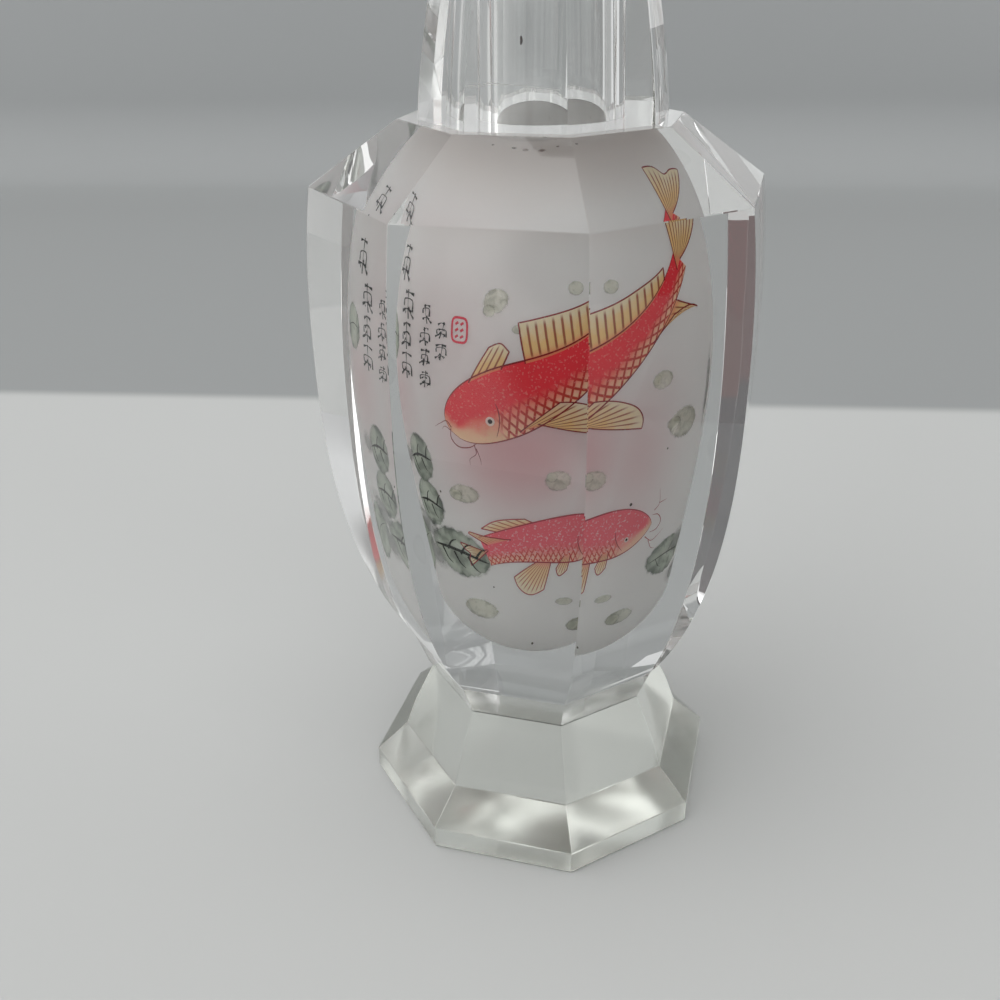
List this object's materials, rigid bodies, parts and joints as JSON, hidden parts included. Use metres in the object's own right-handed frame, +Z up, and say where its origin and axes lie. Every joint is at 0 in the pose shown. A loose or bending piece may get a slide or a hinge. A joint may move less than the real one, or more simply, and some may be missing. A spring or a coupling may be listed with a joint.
{
  "type": "inside-painted glass vase",
  "caption": "Octagonal clear glass vase with a painted ovoid cavity, a tapering neck with a round bore and a plain flared rim, and a flared foot.",
  "frame": {"origin": "centre of the foot's underside", "axes": "+Z up along the vase's axis; the octagon's flats face X and Y, and the flat with the painted script and the large fish's head faces -Y"},
  "size_m": [0.0808, 0.0788, 0.2],
  "materials": {
    "neck_glass": "polished clear lead-free crystal, colourless",
    "clear_glass": "polished clear crystal; the cavity wall is frosted and painted",
    "green_tinted_glass": "polished crystal with a pale green-grey tint",
    "painted_film": "thin translucent frosted coat and watercolour-like paint on the cavity wall"
  },
  "bodies": {
    "root": {"neck": "neck_glass", "body": "clear_glass", "foot": "green_tinted_glass"}
  },
  "joints": []
}
